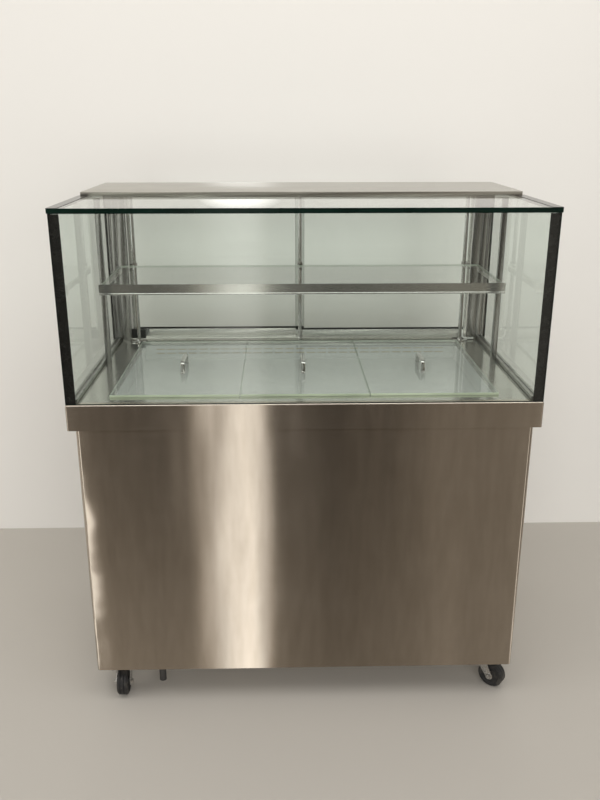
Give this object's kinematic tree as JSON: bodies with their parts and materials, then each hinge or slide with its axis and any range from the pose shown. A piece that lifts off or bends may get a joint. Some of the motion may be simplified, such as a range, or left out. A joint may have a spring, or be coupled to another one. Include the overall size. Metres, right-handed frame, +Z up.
{
  "type": "bakery display case",
  "caption": "Glass display case on a stainless base with casters, a lidded cold well in the deck, a glass shelf and sliding rear doors.",
  "frame": {"origin": "on the floor under the middle of the case", "axes": "+X to the right seen from the front, -Y to the customer at the front, +Z up"},
  "size_m": [1.22, 0.7, 1.394],
  "materials": {
    "brushed_steel": "brushed, level grain, warm grey",
    "satin_steel": "satin stainless sheet",
    "polished_steel": "polished",
    "clear_glass": "clear, faintly green",
    "black_border": "black bonded border",
    "grey_aluminium": "dull anodised",
    "coil_aluminium": "thin fins",
    "foam": "rigid foam",
    "black_plastic": "moulded",
    "grey_plastic": "moulded pipe",
    "white_plastic": "smooth lead jacket",
    "black_rubber": "matte",
    "black_paint": "semi-gloss enamel",
    "copper": "drawn tube, a little tarnished",
    "zinc_plate": "bright zinc plate",
    "caster_rubber": "matte tread with dusty grooves"
  },
  "bodies": {
    "case": {"floor_pan": "brushed_steel", "body_wrap": "brushed_steel", "rear_strip": "brushed_steel", "band": "brushed_steel", "insulated_tub": "foam", "deck_top": "satin_steel", "well_floor": "satin_steel", "well_panels": "satin_steel", "air_panel": "satin_steel", "evaporator_coil": "coil_aluminium", "evaporator_fan_frame": "black_plastic", "drain_pipe": "grey_plastic", "front_glass": "clear_glass", "left_side_glass": "clear_glass", "right_side_glass": "clear_glass", "top_glass": "clear_glass", "corner_trims": "black_border", "glass_channels": "grey_aluminium", "mid_posts": "satin_steel", "rear_poles": "polished_steel", "shelf_glass": "clear_glass", "shelf_frame": "satin_steel", "shelf_clips": "polished_steel", "rear_jambs": "satin_steel", "rear_header": "satin_steel", "door_track": "satin_steel", "door_stop": "black_rubber", "sensor_lead": "white_plastic", "top_cover": "satin_steel", "compressor": "black_paint", "condenser_coil": "coil_aluminium", "condenser_fan_motor": "black_paint", "refrigerant_lines": "copper", "control_box": "black_plastic", "cord_gland": "black_plastic", "caster_plates": "zinc_plate"},
    "service_panel_body": {"service_panel": "brushed_steel", "panel_screws": "polished_steel"},
    "left_door": {"left_door_glass": "clear_glass", "left_door_rail": "satin_steel"},
    "right_door": {"right_door_glass": "clear_glass", "right_door_rail": "satin_steel"},
    "left_lid_body": {"left_lid": "clear_glass", "left_lid_pull": "polished_steel"},
    "middle_lid_body": {"middle_lid": "clear_glass", "middle_lid_pull": "polished_steel"},
    "right_lid_body": {"right_lid": "clear_glass", "right_lid_pull": "polished_steel"},
    "evaporator_fan": {"evaporator_fan_blade": "black_plastic"},
    "condenser_fan": {"condenser_fan_blade": "grey_aluminium"},
    "switch_rocker": {"power_switch": "black_plastic"},
    "thermostat_dial": {"thermostat_knob": "black_plastic"},
    "front_left_swivel": {"front_left_fork": "zinc_plate"},
    "front_left_roller": {"front_left_wheel": "caster_rubber"},
    "front_right_swivel": {"front_right_fork": "zinc_plate"},
    "front_right_roller": {"front_right_wheel": "caster_rubber"},
    "rear_left_swivel": {"rear_left_fork": "zinc_plate"},
    "rear_left_roller": {"rear_left_wheel": "caster_rubber"},
    "rear_right_swivel": {"rear_right_fork": "zinc_plate"},
    "rear_right_roller": {"rear_right_wheel": "caster_rubber"}
  },
  "joints": [
    {"name": "left_door_slide", "type": "slide", "parent": "case", "child": "left_door", "axis": [1, 0, 0], "range_m": [0, 0.53]},
    {"name": "right_door_slide", "type": "slide", "parent": "case", "child": "right_door", "axis": [-1, 0, 0], "range_m": [0, 0.488]},
    {"name": "left_lid_lift", "type": "slide", "parent": "case", "child": "left_lid_body", "axis": [0, 0, 1], "range_m": [0, 0.15]},
    {"name": "middle_lid_lift", "type": "slide", "parent": "case", "child": "middle_lid_body", "axis": [0, 0, 1], "range_m": [0, 0.15]},
    {"name": "right_lid_lift", "type": "slide", "parent": "case", "child": "right_lid_body", "axis": [0, 0, 1], "range_m": [0, 0.15]},
    {"name": "service_panel_pull", "type": "slide", "parent": "case", "child": "service_panel_body", "axis": [0, 1, 0], "range_m": [0, 0.15]},
    {"name": "evaporator_fan_spin", "type": "hinge", "parent": "case", "child": "evaporator_fan", "pos_m": [0, 0.004, 0.786], "axis": [0, 1, 0], "continuous": true},
    {"name": "condenser_fan_spin", "type": "hinge", "parent": "case", "child": "condenser_fan", "pos_m": [0, 0.22, 0.235], "axis": [0, 1, 0], "continuous": true},
    {"name": "power_switch_rock", "type": "hinge", "parent": "case", "child": "switch_rocker", "pos_m": [0.435, 0.329, 0.675], "axis": [1, 0, 0], "range_deg": [-5, 5]},
    {"name": "thermostat_turn", "type": "hinge", "parent": "case", "child": "thermostat_dial", "pos_m": [0.49, 0.334, 0.675], "axis": [0, 1, 0], "range_deg": [-135, 135]},
    {"name": "front_left_swivel_turn", "type": "hinge", "parent": "case", "child": "front_left_swivel", "pos_m": [-0.525, -0.278, 0.085], "axis": [0, 0, 1], "continuous": true},
    {"name": "front_left_wheel_roll", "type": "hinge", "parent": "front_left_swivel", "child": "front_left_roller", "pos_m": [-0.525, -0.311, 0.0375], "axis": [1, 0, 0], "continuous": true},
    {"name": "front_right_swivel_turn", "type": "hinge", "parent": "case", "child": "front_right_swivel", "pos_m": [0.525, -0.278, 0.085], "axis": [0, 0, 1], "continuous": true},
    {"name": "front_right_wheel_roll", "type": "hinge", "parent": "front_right_swivel", "child": "front_right_roller", "pos_m": [0.55065, -0.29877, 0.0375], "axis": [0.6293, 0.7771, 0], "continuous": true},
    {"name": "rear_left_swivel_turn", "type": "hinge", "parent": "case", "child": "rear_left_swivel", "pos_m": [-0.525, 0.276, 0.085], "axis": [0, 0, 1], "continuous": true},
    {"name": "rear_left_wheel_roll", "type": "hinge", "parent": "rear_left_swivel", "child": "rear_left_roller", "pos_m": [-0.53895, 0.30591, 0.0375], "axis": [-0.9063, -0.4226, 0], "continuous": true},
    {"name": "rear_right_swivel_turn", "type": "hinge", "parent": "case", "child": "rear_right_swivel", "pos_m": [0.525, 0.276, 0.085], "axis": [0, 0, 1], "continuous": true},
    {"name": "rear_right_wheel_roll", "type": "hinge", "parent": "rear_right_swivel", "child": "rear_right_roller", "pos_m": [0.53629, 0.30701, 0.0375], "axis": [-0.9397, 0.342, 0], "continuous": true}
  ]
}
